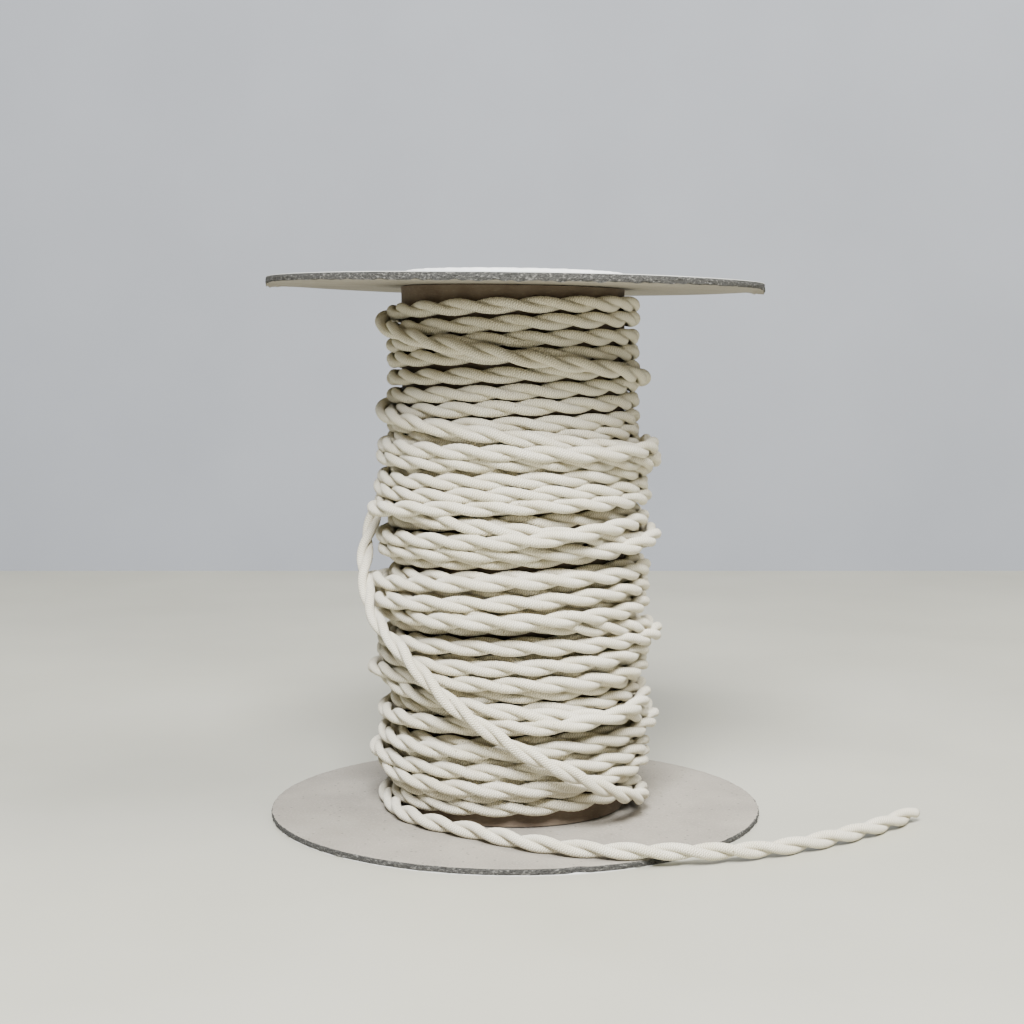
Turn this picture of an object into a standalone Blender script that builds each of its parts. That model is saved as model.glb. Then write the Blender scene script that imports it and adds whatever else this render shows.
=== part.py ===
"""A cardboard spool of twisted, cotton-braided lamp flex, standing on its lower flange.

Two greyboard discs with white paper facings sit on the ends of a kraft tube.  A white
paper sleeve lines the tube and its upper end is curled out over the upper disc.  The flex
lies on the tube in an inner layer and a shorter outer one.  One slack turn has slipped
down the winding, and the free end runs over the lower disc on to the table.

Metres, +Z up along the spool's axis, origin at the middle of the lower disc's underside.
"""

import math

import bmesh
import bpy
import numpy as np

# --- the spool: sizes that can be set by themselves -----------------------------------
FLANGE_DIAMETER = 0.200
BOARD_THICKNESS = 0.0018
FACING_THICKNESS = 0.0004
FLANGE_SPACING = 0.2110          # clear height between the two discs
CORE_DIAMETER = 0.090            # outside of the kraft tube
CORE_WALL = 0.0054
SLEEVE_WALL = 0.0012
CURL_REACH = 0.0053              # how far the curl spreads beyond the sleeve's outside
CURL_HEIGHT = 0.0042
CURL_FLAT = 0.0024               # width of the level crown that a second spool rests on

# --- the flex and how it is wound ------------------------------------------------------
CABLE_DIAMETER = 0.0062          # across both strands of the twist
LAYER_NESTING = 0.0003           # how far a layer settles into the one below
FOOT_CLEARANCE = 0.0035          # between the flex lying on the disc and the first turn
HEAD_CLEARANCE = 0.0049          # bare tube above the last turn
OUTER_FOOT_RISE = 0.0080         # the outer layer starts this much above the inner one
OUTER_LAYER_HEIGHT = 0.1345
CROSSOVER_START = 150.0          # degrees round the axis, counted from +X towards +Y
CROSSOVER_SWEEP = 470.0          # the cord comes down from the top in this much winding
RIM_RUN = 0.025                  # beyond the rim, the cord reaches the table in this run

# --- clearances ------------------------------------------------------------------------
SEAT_GAP = 0.0003                # between pieces that touch
SLEEVE_FIT = 0.0003              # radial, sleeve in tube
CHORD_GAP = 0.0004               # room for a tube's straight facets beside a round coil

DISC_SEGMENTS = 128
TUBE_SEGMENTS = 96
CURL_CORNER_STEPS = 5
CORD_STEP = 2.0                  # points along a cord, in cord diameters
CORD_BEVEL_RESOLUTION = 2
SOLVER_STEPS = 900               # fine steps that a cord's even spacing is read from

# --- what follows from those sizes -----------------------------------------------------
CABLE_RADIUS = CABLE_DIAMETER / 2
CORE_RADIUS = CORE_DIAMETER / 2
CORE_BORE_RADIUS = CORE_RADIUS - CORE_WALL
SLEEVE_RADIUS = CORE_BORE_RADIUS - SLEEVE_FIT
SLEEVE_BORE_RADIUS = SLEEVE_RADIUS - SLEEVE_WALL
FLANGE_RADIUS = FLANGE_DIAMETER / 2

LOWER_BOARD_Z = FACING_THICKNESS + SEAT_GAP
LOWER_FACE_Z = LOWER_BOARD_Z + BOARD_THICKNESS
UPPER_FACE_Z = LOWER_FACE_Z + FLANGE_SPACING
UPPER_FACING_Z = UPPER_FACE_Z + BOARD_THICKNESS + SEAT_GAP
UPPER_OUTSIDE_Z = UPPER_FACING_Z + FACING_THICKNESS
CURL_SEAT_Z = UPPER_OUTSIDE_Z + SEAT_GAP

LAYER_THICKNESS = CABLE_DIAMETER - LAYER_NESTING
INNER_LAYER_IN = CORE_RADIUS + SEAT_GAP
INNER_LAYER_OUT = INNER_LAYER_IN + LAYER_THICKNESS
OUTER_LAYER_IN = INNER_LAYER_OUT + SEAT_GAP
OUTER_LAYER_OUT = OUTER_LAYER_IN + LAYER_THICKNESS - 2 * LAYER_NESTING
INNER_LAYER_Z = LOWER_FACE_Z + SEAT_GAP + CABLE_DIAMETER + FOOT_CLEARANCE
INNER_LAYER_TOP = UPPER_FACE_Z - HEAD_CLEARANCE
OUTER_LAYER_Z = INNER_LAYER_Z + OUTER_FOOT_RISE
OUTER_LAYER_TOP = OUTER_LAYER_Z + OUTER_LAYER_HEIGHT
CORD_LIE_RADIUS = OUTER_LAYER_OUT + CABLE_RADIUS

# The free cord's own route, chosen by hand.  Each point is the angle round the axis in
# degrees, the clear gap between the cord and the wound surface in mm (negative where it
# tucks in under the outer layer), and how high the cord lies above its resting height.
FREE_ROUTE = (
    (130.0, 0.6, 141.0), (145.0, 0.6, 131.0), (157.0, 0.7, 120.0), (166.0, 1.0, 112.0),
    (175.0, 1.4, 102.5), (184.0, 1.5, 94.5), (194.0, 1.1, 84.5), (204.0, 0.8, 76.5),
    (216.0, 0.7, 70.0), (227.0, 0.7, 63.0), (238.0, 0.7, 54.3), (248.0, 0.7, 46.5),
    (257.5, 0.7, 40.0), (271.5, 0.7, 30.8), (288.0, 0.7, 22.0), (298.0, 0.6, 16.8),
    (308.0, -0.2, 11.8), (322.0, -2.8, 7.0), (335.0, -4.9, 4.1), (350.0, -8.0, 3.0),
    (375.0, -8.5, 1.6), (400.0, -8.5, 0.5), (430.0, -8.5, 0.0), (465.0, -8.0, 0.0),
    (495.0, -6.5, 0.0), (515.0, -5.0, 0.0), (530.0, -4.9, 0.0), (545.0, -5.7, 0.0),
    (558.0, -5.7, 0.0), (570.0, -4.2, 0.0), (583.0, -3.0, 0.0), (600.0, -1.0, 0.0),
    (618.0, 4.4, 0.0), (631.0, 14.5, 0.0), (640.0, 22.9, 0.0), (657.3, 39.4, 0.0),
    (676.0, 56.0, 0.0), (695.6, 77.0, 0.0), (712.4, 101.0, 0.0),
)

GREYBOARD = ((0.40, 0.38, 0.35), 0.92)
WHITE_FACING = ((0.72, 0.72, 0.70), 0.80)
KRAFT_TUBE = ((0.20, 0.135, 0.085), 0.85)
WHITE_SLEEVE = ((0.74, 0.74, 0.72), 0.78)
COTTON_BRAID = ((0.76, 0.73, 0.65), 0.95)


def clear_scene():
    """Remove every object, so the model starts from nothing."""
    for old in list(bpy.data.objects):
        bpy.data.objects.remove(old, do_unlink=True)


def dress(piece, finish):
    """Give a piece its own Principled material in the finish's colour and roughness."""
    colour, roughness = finish
    material = bpy.data.materials.new(piece.name + "_finish")
    material.use_nodes = True
    shader = material.node_tree.nodes["Principled BSDF"]
    shader.inputs["Base Color"].default_value = (*colour, 1.0)
    shader.inputs["Roughness"].default_value = roughness
    shader.inputs["Metallic"].default_value = 0.0
    piece.data.materials.append(material)


def turned_ring(name, profile, segments, finish):
    """Turn a closed (radius, height) outline round the axis into one closed ring."""
    work = bmesh.new()
    corners = [work.verts.new((radius, 0.0, height)) for radius, height in profile]
    edges = [work.edges.new((a, b)) for a, b in zip(corners, corners[1:] + corners[:1])]
    bmesh.ops.spin(work, geom=corners + edges, cent=(0, 0, 0), axis=(0, 0, 1),
                   angle=2 * math.pi, steps=segments, use_merge=True)
    bmesh.ops.remove_doubles(work, verts=work.verts, dist=1e-6)
    bmesh.ops.recalc_face_normals(work, faces=work.faces)
    mesh = bpy.data.meshes.new(name)
    work.to_mesh(mesh)
    work.free()
    mesh.shade_smooth()
    mesh.set_sharp_from_angle(angle=math.radians(35))
    piece = bpy.data.objects.new(name, mesh)
    bpy.context.collection.objects.link(piece)
    dress(piece, finish)
    return piece


def band(inner, outer, low, high):
    """The outline of a plain ring with a rectangular section."""
    return [(inner, low), (outer, low), (outer, high), (inner, high)]


def corner_arc(centre, radii, start, end, steps):
    """Points on an elliptic quarter from one angle to another, in degrees."""
    angles = np.radians(np.linspace(start, end, steps + 1))
    return [(centre[0] + radii[0] * math.cos(a), centre[1] + radii[1] * math.sin(a))
            for a in angles]


def sleeve_outline():
    """The liner's section: a thin wall whose upper end is curled out over the disc."""
    wall_foot = SEAT_GAP
    curl_out = SLEEVE_RADIUS + CURL_REACH
    crown_z = CURL_SEAT_Z + CURL_HEIGHT
    crown_mid = (SLEEVE_BORE_RADIUS + curl_out) / 2
    flat_in = crown_mid - CURL_FLAT / 2
    flat_out = crown_mid + CURL_FLAT / 2
    side_z = CURL_SEAT_Z + CURL_HEIGHT * 0.45
    inner_shoulder = corner_arc((flat_in, side_z),
                                (flat_in - SLEEVE_BORE_RADIUS, crown_z - side_z),
                                180, 90, CURL_CORNER_STEPS)
    outer_shoulder = corner_arc((flat_out, side_z), (curl_out - flat_out, crown_z - side_z),
                                90, 0, CURL_CORNER_STEPS)
    under_shoulder = corner_arc((flat_out, side_z), (curl_out - flat_out, side_z - CURL_SEAT_Z),
                                0, -90, CURL_CORNER_STEPS)
    return ([(SLEEVE_BORE_RADIUS, wall_foot)] + inner_shoulder + outer_shoulder
            + under_shoulder[1:] + [(SLEEVE_RADIUS, CURL_SEAT_Z), (SLEEVE_RADIUS, wall_foot)])


def build_spool():
    """The tube, its sleeve and the two faced discs."""
    disc_bore = CORE_BORE_RADIUS
    turned_ring("core_tube",
                band(CORE_BORE_RADIUS, CORE_RADIUS, LOWER_FACE_Z + SEAT_GAP,
                     UPPER_FACE_Z - SEAT_GAP),
                TUBE_SEGMENTS, KRAFT_TUBE)
    turned_ring("inner_sleeve", sleeve_outline(), TUBE_SEGMENTS, WHITE_SLEEVE)
    discs = (
        ("lower_flange_facing", 0.0, FACING_THICKNESS, WHITE_FACING),
        ("lower_flange_board", LOWER_BOARD_Z, LOWER_FACE_Z, GREYBOARD),
        ("upper_flange_board", UPPER_FACE_Z, UPPER_FACE_Z + BOARD_THICKNESS, GREYBOARD),
        ("upper_flange_facing", UPPER_FACING_Z, UPPER_OUTSIDE_Z, WHITE_FACING),
    )
    for name, low, high, finish in discs:
        turned_ring(name, band(disc_bore, FLANGE_RADIUS, low, high), DISC_SEGMENTS, finish)


def build_winding():
    """The two wound layers, each as the ring that its turns fill."""
    turned_ring("cable_inner_layer",
                band(INNER_LAYER_IN, INNER_LAYER_OUT, INNER_LAYER_Z, INNER_LAYER_TOP),
                TUBE_SEGMENTS, COTTON_BRAID)
    turned_ring("cable_outer_layer",
                band(OUTER_LAYER_IN, OUTER_LAYER_OUT, OUTER_LAYER_Z, OUTER_LAYER_TOP),
                TUBE_SEGMENTS, COTTON_BRAID)


def arc_lengths(points):
    """The length run along a line of points, at each of them."""
    steps = np.linalg.norm(np.diff(points, axis=0), axis=1)
    return np.concatenate([[0.0], np.cumsum(steps)])


def natural_spline(knots, values, at):
    """The natural cubic through values at knots, read at other places along it."""
    count = len(knots)
    span = np.diff(knots)
    system = np.eye(count)
    load = np.zeros_like(values)
    slopes = np.diff(values, axis=0) / span[:, None]
    for i in range(1, count - 1):
        system[i, i - 1:i + 2] = span[i - 1], 2 * (span[i - 1] + span[i]), span[i]
        load[i] = 6 * (slopes[i] - slopes[i - 1])
    bend = np.linalg.solve(system, load)
    k = np.clip(np.searchsorted(knots, at, side="right") - 1, 0, count - 2)
    h = span[k][:, None]
    before = (at - knots[k])[:, None]
    after = h - before
    curve = (bend[k] * after ** 3 + bend[k + 1] * before ** 3) / (6 * h)
    line_in = (values[k] / h - bend[k] * h / 6) * after
    line_out = (values[k + 1] / h - bend[k + 1] * h / 6) * before
    return curve + line_in + line_out


def resting_height(radius):
    """What lies under the cord: the lower disc, then beyond its rim the table."""
    share = np.clip((FLANGE_RADIUS + RIM_RUN - radius) / RIM_RUN, 0.0, 1.0)
    return LOWER_FACE_Z * share * share * (3 - 2 * share)


def route_in_space(route):
    """Turn (angle, gap, rise) rows into places in metres."""
    angle = np.radians(route[:, 0])
    radius = CORD_LIE_RADIUS + route[:, 1] / 1000
    height = resting_height(radius) + SEAT_GAP + CABLE_RADIUS + route[:, 2] / 1000
    return np.column_stack((radius * np.cos(angle), radius * np.sin(angle), height))


def evenly_spaced(points, step):
    """Read points a constant length apart along a fine line."""
    run = arc_lengths(points)
    count = max(2, round(run[-1] / step) + 1)
    at = np.linspace(0.0, run[-1], count)
    return np.column_stack([np.interp(at, run, points[:, axis]) for axis in range(3)])


def free_cord_points():
    """The smooth line of the slack turn and the free end."""
    route = np.array(FREE_ROUTE)
    run = arc_lengths(route_in_space(route))
    fine = natural_spline(run, route, np.linspace(0.0, run[-1], SOLVER_STEPS))
    return evenly_spaced(route_in_space(fine), CORD_STEP * CABLE_DIAMETER)


def crossover_points():
    """The steep turn that brings the cord down from the top over the inner layer."""
    share = np.linspace(0.0, 1.0, SOLVER_STEPS)
    angle = np.radians(CROSSOVER_START + CROSSOVER_SWEEP * share)
    radius = INNER_LAYER_OUT + SEAT_GAP + CHORD_GAP + CABLE_RADIUS
    top = INNER_LAYER_TOP - CABLE_RADIUS
    bottom = OUTER_LAYER_TOP + SEAT_GAP + CABLE_RADIUS
    height = top + (bottom - top) * share
    line = np.column_stack((radius * np.cos(angle), radius * np.sin(angle), height))
    return evenly_spaced(line, CORD_STEP * CABLE_DIAMETER)


def cord_tube(name, points, finish):
    """A round cord with closed ends along a line of points."""
    curve = bpy.data.curves.new(name, "CURVE")
    curve.dimensions = "3D"
    curve.bevel_depth = CABLE_RADIUS
    curve.bevel_resolution = CORD_BEVEL_RESOLUTION
    curve.use_fill_caps = True
    spline = curve.splines.new("POLY")
    spline.points.add(len(points) - 1)
    spline.points.foreach_set("co", np.column_stack((points, np.ones(len(points)))).ravel())
    spline.use_smooth = True
    cord = bpy.data.objects.new(name, curve)
    bpy.context.collection.objects.link(cord)
    dress(cord, finish)
    return cord


def main():
    clear_scene()
    build_spool()
    build_winding()
    cord_tube("cable_crossover", crossover_points(), COTTON_BRAID)
    cord_tube("cable_free_end", free_cord_points(), COTTON_BRAID)


main()
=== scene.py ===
"""The looks of a cardboard spool wound with cream, cotton-braided, twisted lamp flex.

The flex is worked out as one line, from its first turn on the kraft tube to its cut end.
The turns are settled against each other as wound cord settles, and both strands are then
twisted round that line.  The discs, the tube and the paper sleeve are turned outlines
whose surfaces are roughened, bent and torn by small waves.

Everything is in metres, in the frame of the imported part.
"""

import logging
import math
from dataclasses import dataclass
from enum import Enum
from functools import partial

import bpy
import numpy as np
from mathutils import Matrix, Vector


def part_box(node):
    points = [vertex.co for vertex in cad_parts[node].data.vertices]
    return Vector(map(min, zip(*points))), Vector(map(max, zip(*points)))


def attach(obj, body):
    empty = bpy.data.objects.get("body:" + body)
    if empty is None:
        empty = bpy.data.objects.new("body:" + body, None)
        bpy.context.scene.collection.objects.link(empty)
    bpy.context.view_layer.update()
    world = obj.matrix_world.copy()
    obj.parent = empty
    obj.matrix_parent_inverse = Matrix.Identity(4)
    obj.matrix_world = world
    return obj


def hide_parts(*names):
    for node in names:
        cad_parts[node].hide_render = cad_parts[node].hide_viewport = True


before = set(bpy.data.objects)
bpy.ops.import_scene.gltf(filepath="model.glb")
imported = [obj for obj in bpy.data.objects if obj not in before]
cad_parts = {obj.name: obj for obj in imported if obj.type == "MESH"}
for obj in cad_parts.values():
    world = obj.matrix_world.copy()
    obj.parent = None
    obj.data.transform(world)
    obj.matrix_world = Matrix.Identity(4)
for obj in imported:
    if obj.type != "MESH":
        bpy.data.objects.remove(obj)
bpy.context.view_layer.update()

log = logging.getLogger("spool")

BODY = "root"
SHADER = "Principled BSDF"
MM = 0.001
TURN = 360.0
FAR = 10.0                         # metres away, where nothing touches
GLUE = 0.00002                     # between board and paper
SHEET = 0.00024                    # how thick the glued paper looks
BORE = 0.0396                      # radius of the discs' holes and of the tube's inside
DISH = 0.0009                      # how much higher the lower disc's middle is than its rim
TILT = 0.83                        # degrees by which the upper disc falls to the right
LEAN = -0.0010                     # how far to one side the tube's upper end stands


class Lay(Enum):
    """How a length of flex lies."""

    COILED = "coiled"
    LOOSE = "loose"


class End(Enum):
    """What is at the far end of a length of flex."""

    ON_SPOOL = "object"
    CUT = "bare"


# --- small helpers for nodes and meshes --------------------------------------------------

def linear(hex_colour: str) -> tuple[float, float, float, float]:
    """Turn an sRGB hex colour into linear light.

    Args:
        hex_colour: six hex digits after a hash sign.

    Returns:
        Red, green, blue and an alpha of 1.
    """
    channels = [int(hex_colour[i:i + 2], 16) / 255 for i in (1, 3, 5)]
    lit = [c / 12.92 if c <= 0.04045 else ((c + 0.055) / 1.055) ** 2.4 for c in channels]
    return (*lit, 1.0)


def add_node(tree: bpy.types.NodeTree, kind: str, inputs: dict | None = None, output: int = 0,
             **options) -> bpy.types.NodeSocket:
    """Add one shader node, set it and link it.

    Args:
        tree: the node tree that takes it.
        kind: the node's type.
        inputs: sockets by name or number, each given a value or another node's output.
        output: the number of the output that is wanted.
        options: the node's own settings.

    Returns:
        The wanted output.
    """
    node = tree.nodes.new(kind)
    for option, value in options.items():
        setattr(node, option, value)
    for socket, value in (inputs or {}).items():
        if isinstance(value, bpy.types.NodeSocket):
            tree.links.new(value, node.inputs[socket])
        else:
            node.inputs[socket].default_value = value
    return node.outputs[output]


def new_material(name: str, **settings: float) -> tuple[bpy.types.Material, partial]:
    """Start a Principled material.

    Args:
        name: the finish's name.
        settings: the shader's own values, each named with _ for a space.

    Returns:
        The material, and add_node tied to its tree.
    """
    material = bpy.data.materials.new(name)
    material.use_nodes = True
    shader = material.node_tree.nodes[SHADER]
    for setting, value in settings.items():
        shader.inputs[setting.replace("_", " ")].default_value = value
    return material, partial(add_node, material.node_tree)


def dressed(material: bpy.types.Material, colour: bpy.types.NodeSocket,
            bump: bpy.types.NodeSocket | None = None) -> bpy.types.Material:
    """Link a colour, and a bump where there is one, to a material's shader.

    Args:
        material: the material.
        colour: the output that gives its colour.
        bump: the output that gives its normal.

    Returns:
        The same material.
    """
    shader = material.node_tree.nodes[SHADER]
    material.node_tree.links.new(colour, shader.inputs["Base Color"])
    if bump is not None:
        material.node_tree.links.new(bump, shader.inputs["Normal"])
    return material


def per_mm(size: float) -> float:
    """The texture scale that gives features of a size in mm."""
    return 1 / (size * MM)


def between(value: bpy.types.NodeSocket, low: float, high: float, to_low: float = 0.0,
            to_high: float = 1.0) -> dict:
    """The inputs that map a value from one range to another, held at both ends."""
    return {0: value, 1: low, 2: high, 3: to_low, 4: to_high}


def clouded(node: partial, place: bpy.types.NodeSocket, size_mm: float, pale: str, deep: str,
            detail: float = 3.0) -> bpy.types.NodeSocket:
    """Two shades that run into each other in soft clouds, mixed by spread-out noise.

    Args:
        node: add_node tied to the material's tree.
        place: the coordinates.
        size_mm: how large the clouds are.
        pale: one shade, as an sRGB hex value.
        deep: the other.
        detail: how much finer detail the clouds have.

    Returns:
        The mixed colour.
    """
    clouds = node("ShaderNodeTexNoise", {"Vector": place, "Scale": per_mm(size_mm),
                                         "Detail": detail})
    share = node("ShaderNodeMapRange", between(clouds, 0.35, 0.65))
    return node("ShaderNodeMix", {0: share, 6: linear(pale), 7: linear(deep)},
                output=2, data_type="RGBA")


@dataclass
class Skin:
    """A closed skin: rows of points, each row once round and closed on itself.

    A looped skin joins its last row to its first, as a ring does.  Any other has a flat
    face across each end.
    """

    points: np.ndarray
    along: np.ndarray
    looped: bool = False
    finishes: np.ndarray | None = None

    def faces(self) -> tuple[np.ndarray, np.ndarray]:
        """The four-cornered faces and their places in the flat pattern.

        Face (i, j) joins points (i, j), (i, j+1), (i+1, j+1) and (i+1, j).  Its pattern
        place is its share of the way round and its distance along.

        Returns:
            Corner numbers, faces × 4, and pattern places, faces × 4 × 2.
        """
        rows, columns = self.points.shape[:2]
        index = np.arange(rows * columns).reshape(rows, columns)
        low, high = (index, np.roll(index, -1, 0)) if self.looped else (index[:-1], index[1:])
        corners = np.stack([low, np.roll(low, -1, 1), np.roll(high, -1, 1), high], -1)
        bands = len(low)
        left = np.broadcast_to(np.arange(columns) / columns, (bands, columns))
        right = left + 1 / columns
        start = np.broadcast_to(self.along[:bands, None], (bands, columns))
        stop = np.broadcast_to(self.along[1:bands + 1, None], (bands, columns))
        places = np.stack([np.stack([left, start], -1), np.stack([right, start], -1),
                           np.stack([right, stop], -1), np.stack([left, stop], -1)], -2)
        return corners.reshape(-1, 4), places.reshape(-1, 4, 2)


def piece_from(name: str, skins: list[Skin], materials: list[bpy.types.Material],
               sharp_degrees: float = 180.0) -> bpy.types.Object:
    """Make one object from skins, with a UV map called flat.

    Args:
        name: the piece's name.
        skins: its closed skins.
        materials: its finishes, in the order that the skins' finish numbers mean.
        sharp_degrees: edges that turn more than this stay sharp.

    Returns:
        The new object, at the origin.
    """
    loops, starts, places, finishes = [], [], [], []
    first_point = loop_count = 0
    for skin in skins:
        rows, columns = skin.points.shape[:2]
        corners, flat = skin.faces()
        loops.append(corners.ravel() + first_point)
        places.append(flat.reshape(-1, 2))
        starts.append(loop_count + 4 * np.arange(len(corners)))
        loop_count += corners.size
        band = np.zeros(rows, int) if skin.finishes is None else skin.finishes
        finishes.append(np.repeat(band[:len(corners) // columns], columns))
        if not skin.looped:
            ends = (np.arange(columns)[::-1], (rows - 1) * columns + np.arange(columns))
            for end, at in zip(ends, (skin.along[0], skin.along[-1])):
                loops.append(end + first_point)
                places.append(np.column_stack([np.arange(columns) / columns,
                                               np.full(columns, at)]))
                starts.append(np.array([loop_count]))
                loop_count += columns
                finishes.append(np.array([band[-1]]))
        first_point += rows * columns
    mesh = bpy.data.meshes.new(name)
    points = np.concatenate([skin.points.reshape(-1, 3) for skin in skins])
    mesh.vertices.add(len(points))
    mesh.vertices.foreach_set("co", points.astype(np.float32).ravel())
    mesh.loops.add(loop_count)
    mesh.loops.foreach_set("vertex_index", np.concatenate(loops).astype(np.int32))
    face_starts = np.concatenate(starts).astype(np.int32)
    mesh.polygons.add(len(face_starts))
    mesh.polygons.foreach_set("loop_start", face_starts)
    for material in materials:
        mesh.materials.append(material)
    mesh.polygons.foreach_set("material_index", np.concatenate(finishes).astype(np.int32))
    mesh.update(calc_edges=True)
    flat_map = mesh.uv_layers.new(name="flat")
    flat_map.data.foreach_set("uv", np.concatenate(places).astype(np.float32).ravel())
    mesh.validate()
    mesh.shade_smooth()
    if sharp_degrees < 180:
        mesh.set_sharp_from_angle(angle=math.radians(sharp_degrees))
    piece = bpy.data.objects.new(name, mesh)
    bpy.context.collection.objects.link(piece)
    log.info("%s: %d points, %d faces", name, len(points), len(face_starts))
    return piece


def stand_for(piece: bpy.types.Object, node: str) -> bpy.types.Object:
    """Ride a piece, and let it stand for a CAD node, whose own mesh is hidden.

    Args:
        piece: the finished piece.
        node: the node that it stands for.

    Returns:
        The same piece.
    """
    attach(piece, BODY)
    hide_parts(node)
    return piece


def waves(at: np.ndarray, counts: tuple[float, ...], heights: tuple[float, ...],
          seed: int) -> np.ndarray:
    """A sum of sine waves, one for each count and height, each starting at its own phase.

    Args:
        at: where, in radians.
        counts: how many waves in a whole turn.
        heights: how tall each is.
        seed: fixes the phases.

    Returns:
        The sum, in the heights' unit.
    """
    phase = np.random.default_rng(seed).uniform(0, 2 * math.pi, len(counts))
    terms = [h * np.sin(c * at + p) for c, h, p in zip(counts, heights, phase)]
    return np.sum(terms, axis=0)


def arc_lengths(points: np.ndarray) -> np.ndarray:
    """The length run along a line of points, at each of them."""
    steps = np.linalg.norm(np.diff(points, axis=0), axis=1)
    return np.concatenate([[0.0], np.cumsum(steps)])


def unit(vectors: np.ndarray) -> np.ndarray:
    """Rows of vectors, each brought to length 1."""
    return vectors / np.linalg.norm(vectors, axis=-1, keepdims=True)


def natural_spline(knots: np.ndarray, values: np.ndarray, at: np.ndarray) -> np.ndarray:
    """The natural cubic through values at knots, read at other places along it.

    Between two knots the curve is the cubic whose bend runs straight from one knot's to
    the next's, and the bends are solved so that the slopes agree at every knot.

    Args:
        knots: where the values are, in rising order.
        values: a row for each knot.
        at: where to read the curve.

    Returns:
        A row for each place read.
    """
    count = len(knots)
    gap = np.diff(knots)
    inner = np.arange(1, count - 1)
    system = np.eye(count)
    system[inner, inner - 1] = gap[:-1]
    system[inner, inner] = 2 * (gap[:-1] + gap[1:])
    system[inner, inner + 1] = gap[1:]
    slopes = np.diff(values, axis=0) / gap[:, None]
    load = np.zeros_like(values)
    load[1:-1] = 6 * np.diff(slopes, axis=0)
    bend = np.linalg.solve(system, load)
    k = np.clip(np.searchsorted(knots, at, side="right") - 1, 0, count - 2)
    h = gap[k][:, None]
    before = (at - knots[k])[:, None]
    after = h - before
    curve = (bend[k] * after ** 3 + bend[k + 1] * before ** 3) / (6 * h)
    line_in = (values[k] / h - bend[k] * h / 6) * after
    line_out = (values[k + 1] / h - bend[k + 1] * h / 6) * before
    return curve + line_in + line_out


def filled_in(values: np.ndarray, parts: int) -> np.ndarray:
    """Put more values between each two, on a Catmull-Rom curve through them all.

    Args:
        values: evenly spaced values.
        parts: how many steps each gap is cut into.

    Returns:
        The longer row of values.
    """
    ends = (2 * values[0] - values[1], 2 * values[-1] - values[-2])
    padded = np.concatenate([[ends[0]], values, [ends[1]]])
    a, b, c, d = padded[:-3, None], padded[1:-2, None], padded[2:-1, None], padded[3:, None]
    t = np.arange(parts)[None, :] / parts
    curve = 0.5 * (2 * b + (c - a) * t + (2 * a - 5 * b + 4 * c - d) * t ** 2
                   + (3 * b - a - 3 * c + d) * t ** 3)
    return np.append(curve.ravel(), values[-1])


# --- finishes ----------------------------------------------------------------------------

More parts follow.
